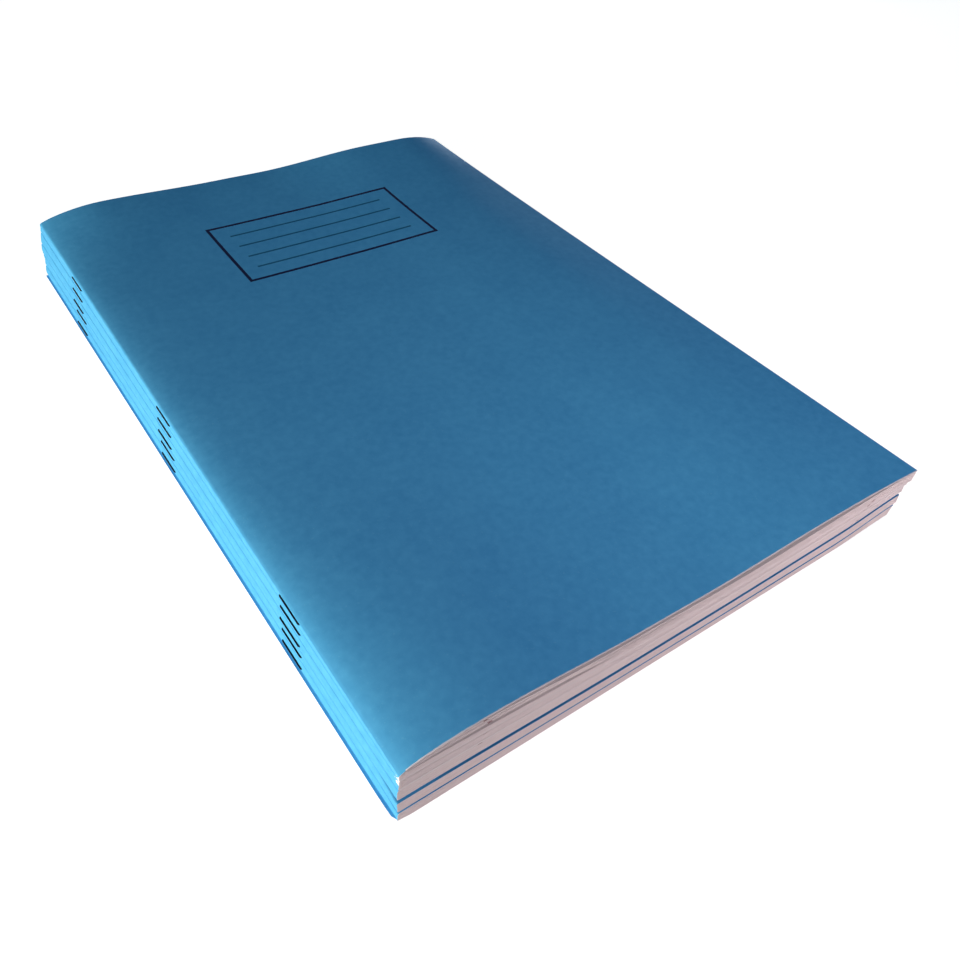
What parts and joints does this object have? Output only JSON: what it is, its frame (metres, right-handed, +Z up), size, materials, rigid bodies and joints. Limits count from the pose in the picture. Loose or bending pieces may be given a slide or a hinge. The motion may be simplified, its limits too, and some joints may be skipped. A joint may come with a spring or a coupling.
{
  "type": "stack of stapled exercise books",
  "caption": "Stack of stapled exercise books in blue card covers, leaves folded at a wire-stitched spine; each book lifts off and the top one opens.",
  "frame": {"origin": "middle of the stack's box, on the table under the bottom book", "axes": "+Z up, +Y along the spine towards the head of the page, +X from the spine to the fore-edge"},
  "size_m": [0.2128, 0.299, 0.0257],
  "materials": {
    "cover_card": "matt dyed card",
    "page_paper": "uncoated writing paper",
    "staple_wire": "drawn stitching wire"
  },
  "bodies": {
    "book_5": {"book_5_front_cover": "cover_card", "book_5_back_cover": "cover_card", "book_5_front_leaves_1": "page_paper", "book_5_back_leaves_1": "page_paper", "book_5_front_leaves_2": "page_paper", "book_5_back_leaves_2": "page_paper", "book_5_front_leaves_3": "page_paper", "book_5_back_leaves_3": "page_paper", "book_5_front_leaves_4": "page_paper", "book_5_back_leaves_4": "page_paper", "book_5_staples": "staple_wire"},
    "book_4": {"book_4_front_cover": "cover_card", "book_4_back_cover": "cover_card", "book_4_front_leaves_1": "page_paper", "book_4_back_leaves_1": "page_paper", "book_4_front_leaves_2": "page_paper", "book_4_back_leaves_2": "page_paper", "book_4_front_leaves_3": "page_paper", "book_4_back_leaves_3": "page_paper", "book_4_front_leaves_4": "page_paper", "book_4_back_leaves_4": "page_paper", "book_4_staples": "staple_wire"},
    "book_3": {"book_3_front_cover": "cover_card", "book_3_back_cover": "cover_card", "book_3_front_leaves_1": "page_paper", "book_3_back_leaves_1": "page_paper", "book_3_front_leaves_2": "page_paper", "book_3_back_leaves_2": "page_paper", "book_3_front_leaves_3": "page_paper", "book_3_back_leaves_3": "page_paper", "book_3_front_leaves_4": "page_paper", "book_3_back_leaves_4": "page_paper", "book_3_staples": "staple_wire"},
    "book_2": {"book_2_front_cover": "cover_card", "book_2_back_cover": "cover_card", "book_2_front_leaves_1": "page_paper", "book_2_back_leaves_1": "page_paper", "book_2_front_leaves_2": "page_paper", "book_2_back_leaves_2": "page_paper", "book_2_front_leaves_3": "page_paper", "book_2_back_leaves_3": "page_paper", "book_2_front_leaves_4": "page_paper", "book_2_back_leaves_4": "page_paper", "book_2_staples": "staple_wire"},
    "book_1": {"book_1_back_cover": "cover_card", "book_1_back_leaves_1": "page_paper", "book_1_back_leaves_2": "page_paper", "book_1_back_leaves_3": "page_paper", "book_1_back_leaves_4": "page_paper", "book_1_staples": "staple_wire"},
    "book_1_cover": {"book_1_front_cover": "cover_card"},
    "book_1_leaves_1": {"book_1_front_leaves_1": "page_paper"},
    "book_1_leaves_2": {"book_1_front_leaves_2": "page_paper"},
    "book_1_leaves_3": {"book_1_front_leaves_3": "page_paper"},
    "book_1_leaves_4": {"book_1_front_leaves_4": "page_paper"}
  },
  "joints": [
    {"name": "lift_book_4", "type": "slide", "parent": "book_5", "child": "book_4", "axis": [0, 0, 1], "range_m": [0, 0.25]},
    {"name": "lift_book_3", "type": "slide", "parent": "book_4", "child": "book_3", "axis": [0, 0, 1], "range_m": [0, 0.25]},
    {"name": "lift_book_2", "type": "slide", "parent": "book_3", "child": "book_2", "axis": [0, 0, 1], "range_m": [0, 0.25]},
    {"name": "lift_book_1", "type": "slide", "parent": "book_2", "child": "book_1", "axis": [0, 0, 1], "range_m": [0, 0.25]},
    {"name": "cover_opens", "type": "hinge", "parent": "book_1", "child": "book_1_cover", "pos_m": [-0.10421, 0, 0.02311], "axis": [0, -1, 0], "range_deg": [0, 180]},
    {"name": "leaves_1_turn", "type": "hinge", "parent": "book_1", "child": "book_1_leaves_1", "pos_m": [-0.10421, 0, 0.02311], "axis": [0, -1, 0], "range_deg": [0, 144]},
    {"name": "leaves_2_turn", "type": "hinge", "parent": "book_1", "child": "book_1_leaves_2", "pos_m": [-0.10421, 0, 0.02311], "axis": [0, -1, 0], "range_deg": [0, 108]},
    {"name": "leaves_3_turn", "type": "hinge", "parent": "book_1", "child": "book_1_leaves_3", "pos_m": [-0.10421, 0, 0.02311], "axis": [0, -1, 0], "range_deg": [0, 72]},
    {"name": "leaves_4_turn", "type": "hinge", "parent": "book_1", "child": "book_1_leaves_4", "pos_m": [-0.10421, 0, 0.02311], "axis": [0, -1, 0], "range_deg": [0, 36]}
  ],
  "couplings": [
    {"joint": "leaves_1_turn", "follows": "cover_opens", "ratio": 0.8},
    {"joint": "leaves_2_turn", "follows": "cover_opens", "ratio": 0.6},
    {"joint": "leaves_3_turn", "follows": "cover_opens", "ratio": 0.4},
    {"joint": "leaves_4_turn", "follows": "cover_opens", "ratio": 0.2}
  ]
}
